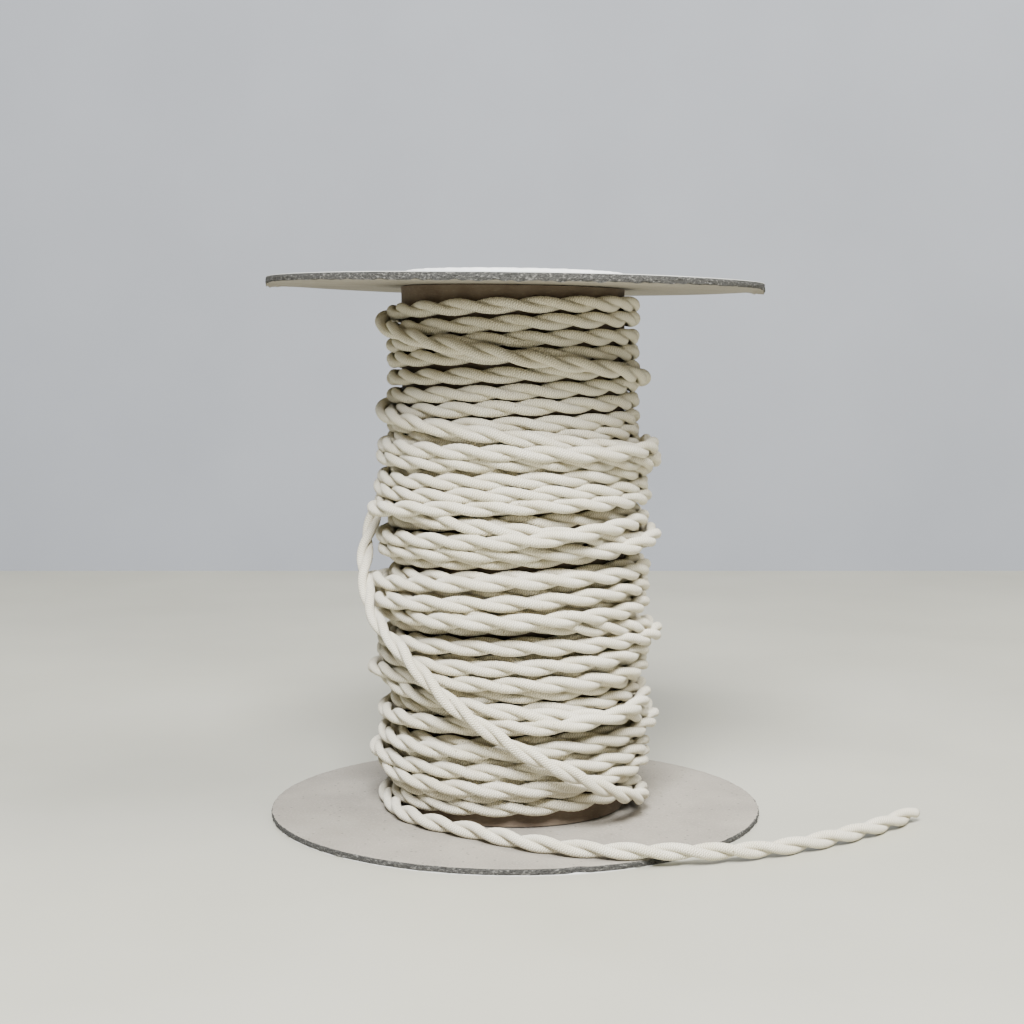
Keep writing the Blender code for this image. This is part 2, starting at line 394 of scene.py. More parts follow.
@dataclass(frozen=True)
class CottonBraid:
    """Undyed cotton yarn, braided on a machine over each insulated core.

    It gives the eye a matt, creamy cord with fine ribs across it, a faint fuzz and painted
    shade darkening the pits between the yarns.
    """

    yarn: str = "#e9e3ce"
    slub: str = "#e0d8be"
    # painted shade: the darker colour laid into the hollows between the yarns
    pit_shade_colour: str = "#8f8262"
    husk: str = "#6e5c42"          # specks of seed husk, left in undyed yarn
    husk_gap_mm: float = 6.0
    yarns_round: int = 7
    pick_mm: float = 0.9           # one yarn crosses over another at every pick
    sway: float = 0.22             # how far a pick's rib bends round each yarn, in picks
    rib_depth_mm: float = 0.3
    slub_mm: float = 9.0           # how long a thicker or darker run of yarn is
    fluff_mm: float = 0.32
    fluff_depth_mm: float = 0.16

    def material(self) -> bpy.types.Material:
        """Build it.

        The ribs are cos(distance along / pick + sway x sin(yarns x angle round)), so that
        they cross the strand and bend at each yarn.

        Returns:
            The material.
        """
        material, node = new_material("cotton_braid_undyed", Roughness=0.92, IOR=1.47,
                                      Sheen_Weight=0.3, Sheen_Roughness=0.5)
        flat = node("ShaderNodeUVMap", uv_map="flat")
        place = node("ShaderNodeTexCoord", output=3)
        round_share = node("ShaderNodeSeparateXYZ", {0: flat})
        along = node("ShaderNodeSeparateXYZ", {0: flat}, output=1)
        turn = node("ShaderNodeMath", {0: round_share, 1: 2 * math.pi * self.yarns_round},
                    operation="MULTIPLY")
        yarn = node("ShaderNodeMath", {0: turn}, operation="SINE")
        bend = node("ShaderNodeMath", {0: yarn, 1: 2 * math.pi * self.sway}, operation="MULTIPLY")
        pick = node("ShaderNodeMath", {0: along, 1: 2 * math.pi / self.pick_mm, 2: bend},
                    operation="MULTIPLY_ADD")
        rib = node("ShaderNodeMath", {0: pick}, operation="COSINE")
        weave = node("ShaderNodeMapRange", between(rib, -1.0, 1.0))
        fuzz = node("ShaderNodeTexNoise", {"Vector": place, "Scale": per_mm(self.fluff_mm),
                                           "Detail": 4.0, "Roughness": 0.7})
        patches = node("ShaderNodeTexNoise", {"Vector": place, "Scale": per_mm(self.slub_mm),
                                              "Detail": 2.0})
        slubs = node("ShaderNodeMapRange", between(patches, 0.35, 0.7))
        base = node("ShaderNodeMix", {0: slubs, 6: linear(self.yarn), 7: linear(self.slub)},
                    output=2, data_type="RGBA")
        # Painted shade: the hollows of the weave are darkened toward the pit colour, patchily
        # where the fuzz noise lets it.
        low = node("ShaderNodeMapRange", between(weave, 0.55, 0.0))
        patchy_shade = node("ShaderNodeMapRange", between(fuzz, 0.3, 0.7, 0.25, 0.9))
        painted_pit_shade = node("ShaderNodeMath", {0: low, 1: patchy_shade}, operation="MULTIPLY")
        shaded = node("ShaderNodeMix", {0: painted_pit_shade, 6: base, 7: linear(self.pit_shade_colour)}, output=2,
                      data_type="RGBA")
        husks = node("ShaderNodeTexVoronoi", {"Vector": place, "Scale": per_mm(self.husk_gap_mm)})
        speck = node("ShaderNodeMapRange", between(husks, 0.07, 0.04, 0.0, 0.8))
        specked = node("ShaderNodeMix", {0: speck, 6: shaded, 7: linear(self.husk)}, output=2,
                       data_type="RGBA")
        ribs = node("ShaderNodeBump", {"Height": weave, "Distance": self.rib_depth_mm * MM,
                                       "Strength": 0.9})
        fluff = node("ShaderNodeBump", {"Height": fuzz, "Distance": self.fluff_depth_mm * MM,
                                        "Strength": 0.6, "Normal": ribs})
        return dressed(material, specked, fluff)


@dataclass(frozen=True)
class Greyboard:
    """Recycled paper board, rolled and calendered, unprinted.

    It gives the eye a dull warm grey with short fibres, pale and dark flecks, and soft
    clouds where the pulp was uneven.
    """

    board: str = "#908a7e"
    cloud: str = "#847e73"
    fleck: str = "#4f4b45"
    pale_fleck: str = "#aca79c"
    fibre_mm: float = 0.9
    fleck_mm: float = 4.2
    cloud_mm: float = 28.0
    tooth_depth_mm: float = 0.05

    def material(self) -> bpy.types.Material:
        """Build it, all on object coordinates.

        Returns:
            The material.
        """
        material, node = new_material("greyboard_calendered", Roughness=0.88)
        place = node("ShaderNodeTexCoord", output=3)
        fibres = node("ShaderNodeTexNoise", {"Vector": place, "Scale": per_mm(self.fibre_mm),
                                             "Detail": 5.0, "Roughness": 0.65})
        flecks = node("ShaderNodeTexVoronoi", {"Vector": place, "Scale": per_mm(self.fleck_mm)})
        pulp = clouded(node, place, self.cloud_mm, self.board, self.cloud)
        pale = node("ShaderNodeMapRange", between(fibres, 0.5, 0.75, 0.0, 0.6))
        lit = node("ShaderNodeMix", {0: pale, 6: pulp, 7: linear(self.pale_fleck)},
                   output=2, data_type="RGBA")
        specks = node("ShaderNodeMapRange", between(flecks, 0.15, 0.08, 0.0, 0.7))
        flecked = node("ShaderNodeMix", {0: specks, 6: lit, 7: linear(self.fleck)},
                       output=2, data_type="RGBA")
        tooth = node("ShaderNodeBump", {"Height": fibres, "Strength": 0.6,
                                        "Distance": self.tooth_depth_mm * MM})
        return dressed(material, flecked, tooth)


@dataclass(frozen=True)
class TornBoardEdge:
    """The same board where a die has cut it, so that its pressed layers show.

    It gives the eye a rough, dark grey rim with short streaks along its plies and pale specks.
    """

    pulp: str = "#4c4b47"
    dark: str = "#1f1e1c"
    speck: str = "#8b8982"
    fibre_mm: float = 0.5
    layer_mm: float = 0.9
    along_plies: tuple[float, float, float] = (0.7, 0.7, 1.4)
    rough_depth_mm: float = 0.3

    def material(self) -> bpy.types.Material:
        """Build it, with noise drawn out along the plies by a Mapping node.

        Returns:
            The material.
        """
        material, node = new_material("greyboard_cut_edge", Roughness=0.95)
        place = node("ShaderNodeTexCoord", output=3)
        plies = node("ShaderNodeMapping", {"Vector": place, "Scale": self.along_plies})
        fibres = node("ShaderNodeTexNoise", {"Vector": plies, "Scale": per_mm(self.fibre_mm),
                                             "Detail": 5.0, "Roughness": 0.75})
        layers = node("ShaderNodeTexNoise", {"Vector": plies, "Scale": per_mm(self.layer_mm),
                                             "Detail": 3.0})
        torn = node("ShaderNodeMapRange", between(fibres, 0.4, 0.6))
        pulp = node("ShaderNodeMix", {0: torn, 6: linear(self.dark), 7: linear(self.pulp)},
                    output=2, data_type="RGBA")
        specks = node("ShaderNodeMapRange", between(layers, 0.54, 0.68, 0.0, 0.55))
        specked = node("ShaderNodeMix", {0: specks, 6: pulp, 7: linear(self.speck)},
                       output=2, data_type="RGBA")
        rough = node("ShaderNodeBump", {"Height": fibres, "Strength": 0.9,
                                        "Distance": self.rough_depth_mm * MM})
        return dressed(material, specked, rough)


@dataclass(frozen=True)
class WhitePaper:
    """Bleached lining paper, machine-finished and glued down.

    It gives the eye a clean, slightly cool white with very small dimples.
    """

    name: str = "white_lining_paper"
    sheet: str = "#dcdcd9"
    shade: str = "#cfcfcb"
    tooth_mm: float = 0.5
    tooth_depth_mm: float = 0.03
    cloud_mm: float = 14.0

    def material(self) -> bpy.types.Material:
        """Build it, all on object coordinates.

        Returns:
            The material.
        """
        material, node = new_material(self.name, Roughness=0.7)
        place = node("ShaderNodeTexCoord", output=3)
        tooth = node("ShaderNodeTexNoise", {"Vector": place, "Scale": per_mm(self.tooth_mm),
                                            "Detail": 3.0})
        sheet = clouded(node, place, self.cloud_mm, self.sheet, self.shade)
        dimples = node("ShaderNodeBump", {"Height": tooth, "Strength": 0.5,
                                          "Distance": self.tooth_depth_mm * MM})
        return dressed(material, sheet, dimples)


@dataclass(frozen=True)
class KraftTube:
    """Unbleached kraft paper, wound in a spiral and glued into a tube.

    It gives the eye a dark dull brown with long faint fibres that follow the wound strips.
    """

    paper: str = "#6c5f4f"
    strip: str = "#5d4f41"
    fibre: str = "#847662"
    fibre_mm: float = 0.8
    fibre_depth_mm: float = 0.06
    along_strips: tuple[float, float, float] = (0.35, 0.35, 1.6)
    cloud_mm: float = 12.0

    def material(self) -> bpy.types.Material:
        """Build it.  The fibres are noise drawn out round the tube by a Mapping node.

        Returns:
            The material.
        """
        material, node = new_material("kraft_paper_tube", Roughness=0.82)
        place = node("ShaderNodeTexCoord", output=3)
        long_way = node("ShaderNodeMapping", {"Vector": place, "Scale": self.along_strips})
        fibres = node("ShaderNodeTexNoise", {"Vector": long_way, "Scale": per_mm(self.fibre_mm),
                                             "Detail": 5.0, "Roughness": 0.7})
        sheet = clouded(node, place, self.cloud_mm, self.paper, self.strip)
        streaks = node("ShaderNodeMapRange", between(fibres, 0.52, 0.75, 0.0, 0.6))
        streaked = node("ShaderNodeMix", {0: streaks, 6: sheet, 7: linear(self.fibre)},
                        output=2, data_type="RGBA")
        grain = node("ShaderNodeBump", {"Height": fibres, "Strength": 0.6,
                                        "Distance": self.fibre_depth_mm * MM})
        return dressed(material, streaked, grain)


@dataclass(frozen=True)
class CoreEnd:
    """Plain copper strands, cut off square.

    They give the eye a small dull metal dot in the middle of each cut core.
    """

    copper: str = "#a06a44"
    shadow: str = "#4d3526"
    strand_mm: float = 0.25
    strand_depth_mm: float = 0.1

    def material(self) -> bpy.types.Material:
        """Build it, all on object coordinates.

        Returns:
            The material.
        """
        material, node = new_material("cut_copper_strands", Roughness=0.45, Metallic=1.0)
        place = node("ShaderNodeTexCoord", output=3)
        strands = node("ShaderNodeTexVoronoi", {"Vector": place, "Scale": per_mm(self.strand_mm)})
        gaps = node("ShaderNodeMapRange", between(strands, 0.3, 0.7))
        base = node("ShaderNodeMix", {0: gaps, 6: linear(self.copper), 7: linear(self.shadow)},
                    output=2, data_type="RGBA")
        dents = node("ShaderNodeBump", {"Height": strands, "Strength": 0.7,
                                        "Distance": self.strand_depth_mm * MM})
        return dressed(material, base, dents)


@dataclass(frozen=True)
class CoreInsulation:
    """Extruded white PVC round the copper, seen only where the flex is cut.

    It gives the eye a smooth, slightly glossy pale ring.
    """

    skin: str = "#d9d6cd"
    cut: str = "#c3bfb4"
    drag_mm: float = 0.4

    def material(self) -> bpy.types.Material:
        """Build it, all on object coordinates.

        Returns:
            The material.
        """
        material, node = new_material("pvc_core_insulation", Roughness=0.4, IOR=1.53)
        place = node("ShaderNodeTexCoord", output=3)
        drag = node("ShaderNodeTexNoise", {"Vector": place, "Scale": per_mm(self.drag_mm),
                                           "Detail": 2.0})
        marks = node("ShaderNodeMapRange", between(drag, 0.4, 0.6))
        base = node("ShaderNodeMix", {0: marks, 6: linear(self.skin), 7: linear(self.cut)},
                    output=2, data_type="RGBA")
        return dressed(material, base)


@dataclass(frozen=True)
class PlainSurface:
    """A pale studio surface with a faint unevenness."""

    name: str
    pale: str
    deep: str
    roughness: float
    cloud_mm: float = 160.0

    def material(self) -> bpy.types.Material:
        """Build it, all on object coordinates.

        Returns:
            The material.
        """
        material, node = new_material(self.name, Roughness=self.roughness)
        place = node("ShaderNodeTexCoord", output=3)
        return dressed(material, clouded(node, place, self.cloud_mm, self.pale, self.deep, 4.0))


# --- the flex ----------------------------------------------------------------------------

@dataclass
class Winding:
    """Where the flex lies, from its first turn to the end of the slack turn.

    The angle runs on from turn to turn, in degrees, and grows counter-clockwise as seen
    from above.  The near side of the spool is at 270 degrees of each turn.  Heights are in
    mm above the lower disc's face.
    """

    tube_radius: float
    disc_radius: float
    face_z: float
    lie_radius: float              # the middle of a cord that lies on the finished winding
    dish: float = 0.0              # how much higher the lower disc's middle is than its rim
    seat_gap: float = 0.0003
    cord_radius: float = 0.0031
    rim_run: float = 0.025         # how far past the rim the cord comes down to the table
    first_angle: float = 180.0
    front: float = 90.0            # from the start of a turn round to its near side
    last_part: float = 0.75        # the share of the first layer's last turn that is wound
    before_lift: float = 30.0      # degrees from the second layer's end to where it lifts off
    first_drop: float = 0.8        # the start is this much lower than its near side, in mm
    last_rise: float = 2.6         # the end is this much higher than its near side, in mm
    pitch: float = 6.2
    flatness: float = 0.47         # how much of the rise is saved for the far side
    inner_stray: tuple = ((0.37, 0.83, 1.71), (0.25, 0.3, 0.2), 4)
    outer_stray: tuple = ((0.43, 0.91, 1.37, 2.3), (0.9, 1.1, 0.9, 0.5), 11)

    # How the turns settle.
    step: float = 5.0              # degrees between the points that are settled
    rounding: float = 60.0         # degrees over which the wanted height is evened
    contact: float = 0.0051        # two turns bed into each other to this distance
    passes: int = 160
    layer_lifts: tuple = (0.0, 0.0048, 0.0068)   # first layer, steep pass, second layer
    give: tuple = (0.9, 0.1)       # how much of a push the later and the earlier turn take
    tension: tuple = (0.00006, 0.00003)          # draw to the tube: first layer, the rest
    guide: float = 0.06            # draw to the wanted height, as a share of what is left
    evenness: float = 0.35         # draw to the mean of both neighbours, the same way
    fine_parts: int = 2
    free_step: float = 0.0011
    free_samples: int = 1500

    # The first layer: turn number, and its height at the near side.
    inner_rows: tuple = ((0, 8.6), (14, 98.8), (15, 106.2), (21, 147.0), (22, 152.2),
                         (23, 157.7), (24, 163.7), (25, 170.3), (26, 177.4), (27, 183.6),
                         (28, 189.8), (29, 196.1), (30, 202.8))
    # The steep pass down over the first layer: angle from its own start, and height.
    descent: tuple = ((90, 203.9), (150, 201.0), (180, 198.1), (200, 194.7), (225, 189.7),
                      (250, 186.1), (275, 182.1), (300, 180.1), (325, 176.9),
                      (345, 175.1), (380, 173.5), (450, 169.0), (540, 162.4),
                      (630, 152.5), (720, 143.5), (1080, 108.5), (1440, 73.5),
                      (1800, 38.5), (1985, 19.0))
    # The second layer: the height of each of its turns at the near side.
    outer_rows: tuple = (17.9, 23.7, 35.2, 42.1, 60.2, 65.2, 71.0, 83.3, 88.7, 96.8,
                         108.3, 115.2, 126.5, 131.5, 137.2, 142.9, 147.5)
    # The slack turn and the free end: angle, gap in mm beyond the winding, and height in
    # mm above where the cord would rest.
    lift_off: tuple = ((60.0, -7.2, 146.3), (90.0, -5.2, 146.5), (112.0, -1.6, 145.0))
    free_route: tuple = (
        (130.0, 0.6, 141.0), (145.0, 0.6, 131.0), (157.0, 0.7, 120.0), (166.0, 1.0, 112.0),
        (175.0, 1.4, 102.5), (184.0, 1.5, 94.5), (194.0, 1.1, 84.5), (204.0, 0.8, 76.5),
        (216.0, 0.7, 70.0), (227.0, 0.7, 63.0), (238.0, 0.7, 54.3), (248.0, 0.7, 46.5),
        (257.5, 0.7, 40.0), (271.5, 0.7, 30.8), (288.0, 0.7, 22.0), (298.0, 0.6, 16.8),
        (308.0, -0.2, 11.8), (322.0, -2.8, 7.0), (335.0, -4.9, 4.1), (350.0, -8.0, 3.0),
        (375.0, -8.5, 1.6), (400.0, -8.5, 0.5), (430.0, -8.5, 0.0), (465.0, -8.0, 0.0),
        (495.0, -6.5, 0.0), (515.0, -5.2, 0.0), (530.0, -5.6, 0.0), (545.0, -7.3, 0.0),
        (558.0, -7.5, 0.0), (570.0, -6.1, 0.0), (583.0, -4.3, 0.0), (600.0, -1.6, 0.0),
        (618.0, 4.4, 0.0), (631.0, 14.5, 0.0), (640.0, 22.9, 0.0), (657.3, 39.4, 0.0),
        (676.0, 56.0, 0.0), (695.6, 77.0, 0.0), (712.4, 101.0, 0.0),
    )

    def __post_init__(self) -> None:
        """Work out at which angles one stretch hands over to the next."""
        turns = self.inner_rows[-1][0] + self.last_part
        self.descent_angle = self.first_angle + TURN * turns
        self.descent_zero = self.descent_angle - self.descent[0][0]
        self.outer_angle = self.descent_zero + self.descent[-1][0]
        first_front = self.first_angle + self.front
        self.outer_front = first_front + TURN * math.ceil((self.outer_angle - first_front) / TURN)
        last_front = self.outer_front + TURN * (len(self.outer_rows) - 1)
        self.free_zero = last_front + TURN / 2 - (self.lift_off[0][0] + self.before_lift)
        self.free_angle = self.free_zero + self.lift_off[0][0]

    def resting_height(self, radius: np.ndarray) -> np.ndarray:
        """What lies under the cord: the lower disc, then beyond its rim the table.

        The face's height fades out over the run past the rim by a smooth step, and the
        dish adds dish × (1 - the share of the radius, squared).

        Args:
            radius: how far from the axis.

        Returns:
            The height there.
        """
        share = np.clip((self.disc_radius + self.rim_run - radius) / self.rim_run, 0.0, 1.0)
        inside = np.clip(1 - (radius / self.disc_radius) ** 2, 0.0, 1.0)
        return self.face_z * share * share * (3 - 2 * share) + self.dish * inside

    def free_places(self, rows: np.ndarray) -> np.ndarray:
        """Turn the slack turn's rows into places.

        Args:
            rows: angle, gap and rise, as free_route gives them.

        Returns:
            Rows of angle, and of radius and height in metres.
        """
        radius = self.lie_radius + rows[:, 1] * MM
        height = self.resting_height(radius) + self.seat_gap + self.cord_radius + rows[:, 2] * MM
        return np.column_stack([rows[:, 0], radius, height])

    def free_line(self) -> np.ndarray:
        """The slack turn's angle, radius and height, closely and evenly spaced.

        A natural cubic runs through the given rows, by the distance between them.

        Returns:
            Rows of angle, radius and height.
        """
        rows = np.array(self.lift_off + self.free_route)
        run = arc_lengths(in_space(self.free_places(rows)))
        places = np.linspace(0, run[-1], self.free_samples)
        fine = self.free_places(natural_spline(run, rows, places))
        run = arc_lengths(in_space(fine))
        at = np.linspace(0, run[-1], round(run[-1] / self.free_step) + 1)
        even = np.column_stack([np.interp(at, run, fine[:, k]) for k in range(3)])
        even[:, 0] += self.free_zero
        return even

    def wanted_heights(self, angle: np.ndarray) -> np.ndarray:
        """The height that each point of the winding is drawn to.

        The rows' heights are joined by straight lines, rounded by a running mean, and
        stray by a sum of slow waves.  On the first layer the rise is saved for the far
        side: it gets a sine wave of one turn.

        Args:
            angle: the winding's angle at each point.

        Returns:
            Heights in metres.
        """
        fronts = [self.first_angle + self.front + TURN * n for n, _ in self.inner_rows]
        knots = [(self.first_angle, self.inner_rows[0][1] - self.first_drop)]
        knots += [(a, h) for a, (_, h) in zip(fronts, self.inner_rows)]
        knots += [(self.descent_zero + a, h) for a, h in self.descent]
        knots += [(self.outer_front + TURN * n, h) for n, h in enumerate(self.outer_rows)]
        knots += [(self.free_angle, self.outer_rows[-1] + self.last_rise)]
        knots = np.array(knots)
        height = np.interp(angle, knots[:, 0], knots[:, 1])
        width = round(self.rounding / self.step)
        window = np.hanning(width + 2)[1:-1]
        rounded = np.convolve(np.pad(height, width, "edge"), window / window.sum(), "same")
        height = rounded[width:-width]
        radians = np.radians(angle)
        inner = np.clip((self.descent_angle - angle) / 90, 0, 1)
        outer = np.clip((angle - self.outer_angle) / 90, 0, 1)
        height += inner * self.pitch * self.flatness / (2 * math.pi) * np.cos(radians)
        height += inner * waves(radians, *self.inner_stray)
        height += outer * waves(radians, *self.outer_stray)
        return self.face_z + height * MM

    def settled(self) -> tuple[np.ndarray, np.ndarray]:
        """Let the wound turns bed down.

        Every turn is read at the same angles round the axis.  There, two turns that lie
        nearer than the contact distance push each other apart along the line between
        them, the later one more than the earlier.  Each is drawn in to the tube and to
        its wanted height, and is evened out along its own length.

        Returns:
            Rows of angle, radius and height of the winding, and then of the slack turn.
        """
        free = self.free_line()
        angle = np.arange(self.first_angle, free[-1, 0], self.step)
        wound = angle < self.free_angle - self.step / 2
        held = np.where(wound, 0.0, 1.0)
        wanted = self.wanted_heights(angle)
        height = np.where(wound, wanted, np.interp(angle, free[:, 0], free[:, 2]))
        floor = self.tube_radius + self.cord_radius
        layer = np.digitize(angle, (self.descent_angle, self.outer_angle))
        lift = np.array(self.layer_lifts)[layer]
        radius = np.where(wound, floor + lift, np.interp(angle, free[:, 0], free[:, 1]))
        round_count = round(TURN / self.step)
        turns = -(-len(angle) // round_count)
        spare = turns * round_count - len(angle)
        order = np.arange(turns)
        later = (order[:, None] > order[None, :])[:, :, None]
        other = (order[:, None] != order[None, :])[:, :, None]
        moving = np.pad(1 - held, (0, spare)).reshape(turns, round_count)
        fixed_other = (1 - moving)[None, :, :]
        share = np.where(fixed_other > 0.5, 1.0, np.where(later, *self.give)) * other
        pull = np.where(layer == 0, *self.tension)
        away = FAR + np.arange(spare)
        for _ in range(self.passes):
            r = np.append(radius, away).reshape(turns, round_count)
            z = np.append(height, away).reshape(turns, round_count)
            dr = r[:, None] - r[None, :]
            dz = z[:, None] - z[None, :]
            gap = np.sqrt(dr ** 2 + dz ** 2) + 1e-9
            push = np.clip(self.contact - gap, 0, None) / gap * share * 0.5
            move_r = (push * dr).sum(1).ravel()[:len(angle)]
            move_z = (push * dz).sum(1).ravel()[:len(angle)]
            radius = radius + (move_r - pull) * (1 - held)
            height = height + (move_z + self.guide * (wanted - height)) * (1 - held)
            radius = evened(radius, held, self.evenness)
            height = evened(height, held, self.evenness)
            radius = np.where(wound, np.maximum(radius, floor), radius)
        wound_rows = np.column_stack([angle, radius, height])[wound]
        return np.vstack([wound_rows, free[:1]]), free


def evened(values: np.ndarray, held: np.ndarray, amount: float) -> np.ndarray:
    """Draw each value part of the way to the mean of its two neighbours, unless it is held.

    Args:
        values: the values, in order.
        held: 1 where a value stays, 0 where it moves.
        amount: the share of the way.

    Returns:
        The evened values.
    """
    mean = values.copy()
    mean[1:-1] = (values[:-2] + values[2:]) / 2
    return values + (mean - values) * amount * (1 - held)


def in_space(places: np.ndarray) -> np.ndarray:
    """Turn rows of angle, radius and height into points: radius × (cos, sin) of the angle.

    Args:
        places: the rows, with the angle in degrees.

    Returns:
        A point for each row.
    """
    angle = np.radians(places[:, 0])
    return np.column_stack([places[:, 1] * np.cos(angle), places[:, 1] * np.sin(angle),
                            places[:, 2]])


@dataclass
class Stretch:
    """One named length of the flex."""

    name: str
    node: str
    start: float                   # where it begins, by the winding's angle
    lay: Lay = Lay.COILED
    end: End = End.ON_SPOOL


@dataclass
class TwistedFlex:
    """Two braided strands twisted round one line, cut into named pieces.

    With s the distance along the line, a strand's middle stands off the line by its
    offset, at an angle of one turn for each lay: a right-handed twist.
    """

    winding: Winding
    stretches: list[Stretch]
    diameter: float = 0.0062
    lay: float = 0.033
    offset: float = 0.00153
    strand_radius: float = 0.00178
    flatness: float = 1.10         # a strand's breadth beside its thickness, where two press
    sides: int = 12
    lean: float = LEAN
    lean_height: float = 0.2135
    wall_gap: float = 0.00008      # between the pressed cotton and the tube's mean wall
    twist_stray: tuple = ((0.013, 0.041, 0.11), (0.6, 0.35, 0.2), 23)
    plump: float = 0.035           # how much a strand's thickness varies, as a share
    plump_run: float = 0.011
    plump_waves: tuple = ((1.0, 2.3), (0.6, 0.4), 31)
    cores: tuple = ((0.62, 0.0005, 1), (0.34, 0.0008, 2))   # share, how far out, finish
    core_root: float = 0.002       # how deep a cut core starts inside the strand
    core_bevel: float = 0.0001
    core_tip: float = 0.9

    def line(self) -> tuple[np.ndarray, np.ndarray]:
        """The whole cord's middle, which leans with the tube.

        Returns:
            Its points, and the winding's angle at each.
        """
        wound, free = self.winding.settled()
        fine = np.column_stack([filled_in(wound[:, k], self.winding.fine_parts)
                                for k in range(3)])
        points = in_space(fine)
        fade = np.clip((self.winding.free_angle - fine[:, 0]) / (TURN / 2), 0, 1)
        points[:, 0] += self.lean * fine[:, 2] / self.lean_height * fade
        return (np.vstack([points, in_space(free[1:])]),
                np.concatenate([fine[:, 0], free[1:, 0]]))

    def strand_rings(self, points: np.ndarray, run: np.ndarray
                     ) -> tuple[list[np.ndarray], list[np.ndarray]]:
        """Both strands as rows of rings, for the whole cord.

        The cord's own frame has its first axis as near to upright as it can be.  Each
        ring is a circle square to the strand, drawn out a little along the twist's
        contact line, as two soft strands flatten where they touch.

        Args:
            points: the cord's middle.
            run: the distance along it.

        Returns:
            For each strand its rings, rows × sides × 3, and the distance along it.
        """
        ahead = unit(np.gradient(points, run, axis=0))
        upright = unit(np.array([0.0, 0.0, 1.0]) - ahead * ahead[:, 2:3])
        across = np.cross(ahead, upright)
        slow = waves(run / self.lay, *self.twist_stray)
        rings, runs = [], []
        ring_angle = np.arange(self.sides) / self.sides * 2 * math.pi
        for half in (0.0, math.pi):
            twist = (2 * math.pi * run / self.lay + slow + half)[:, None]
            outward = np.cos(twist) * upright + np.sin(twist) * across
            middle = points + self.offset * outward
            strand_run = arc_lengths(middle)
            forward = unit(np.gradient(middle, strand_run, axis=0))
            first = unit(outward - forward * (outward * forward).sum(1, keepdims=True))
            second = np.cross(forward, first)
            plump = 1 + self.plump * waves(strand_run / self.plump_run, *self.plump_waves)
            size = (self.strand_radius * plump)[:, None, None]
            ring = (np.cos(ring_angle)[None, :, None] * first[:, None]
                    + self.flatness * np.sin(ring_angle)[None, :, None] * second[:, None])
            rings.append(self.pressed(middle[:, None] + size * ring))
            runs.append(strand_run)
        return rings, runs

    def pressed(self, points: np.ndarray) -> np.ndarray:
        """Flatten the cotton where it lies on the tube: what is inside its wall moves out to it.

        Args:
            points: the strand's points.

        Returns:
            The points, none of them inside the leaning tube.
        """
        axis_x = self.lean * points[..., 2] / self.lean_height
        across = points[..., 0] - axis_x
        reach = np.hypot(across, points[..., 1])
        out = np.maximum(1.0, (self.winding.tube_radius + self.wall_gap) / reach)
        return np.stack([axis_x + across * out, points[..., 1] * out, points[..., 2]], -1)

    def cut_core(self, ring: np.ndarray, before: np.ndarray, share: float, out: float,
                 finish: int) -> Skin:
        """A short rod that stands out of a strand's cut end.

        Each of its rings is the strand's last ring, drawn in to a share of its size and
        moved along the strand.

        Args:
            ring: the strand's last ring.
            before: the ring before it.
            share: the rod's size beside the strand's.
            out: how far it stands out.
            finish: its finish's number.

        Returns:
            Its skin.
        """
        middle = ring.mean(0)
        ahead = unit(middle - before.mean(0))
        steps = np.array([-self.core_root, out - self.core_bevel, out])
        sizes = np.array([1.0, 1.0, self.core_tip]) * share
        points = (middle + ahead * steps[:, None, None]
                  + (ring - middle)[None] * sizes[:, None, None])
        return Skin(points, steps / MM, finishes=np.full(len(steps), finish))

    def build(self, finishes: list[bpy.types.Material]) -> None:
        """Args:
            finishes: the braid, the cores' insulation and their copper.
        """
        points, angle = self.line()
        run = arc_lengths(points)
        rings, runs = self.strand_rings(points, run)
        starts = [int(np.searchsorted(angle, s.start - 1e-6)) for s in self.stretches]
        stops = starts[1:] + [len(points) - 1]
        for stretch, first, last in zip(self.stretches, starts, stops):
            part = slice(first, last + 1)
            skins = [Skin(ring[part], along[part] / MM) for ring, along in zip(rings, runs)]
            dress = finishes[:1]
            if stretch.end is End.CUT:
                dress = finishes
                skins += [self.cut_core(ring[last], ring[last - 1], *core) for ring in rings
                          for core in self.cores]
            piece = piece_from(stretch.name, skins, dress)
            stand_for(piece, stretch.node)


# --- the spool ---------------------------------------------------------------------------

@dataclass
class TurnedPart:
    """A closed outline turned round the axis, on a grid of outline points and angles."""

    segments: int = 720

    def turned(self, radius: np.ndarray, height: np.ndarray) -> np.ndarray:
        """Points at radius × (cos, sin) of the angle.

        Args:
            radius: outline points × angles.
            height: the same, or one for each outline point.

        Returns:
            Outline points × angles × 3.
        """
        angle = self.angles()
        return np.stack([radius * np.cos(angle), radius * np.sin(angle),
                         np.broadcast_to(height, radius.shape)], -1)

    def angles(self) -> np.ndarray:
        """The angles round the axis, in radians."""
        return np.arange(self.segments) / self.segments * 2 * math.pi


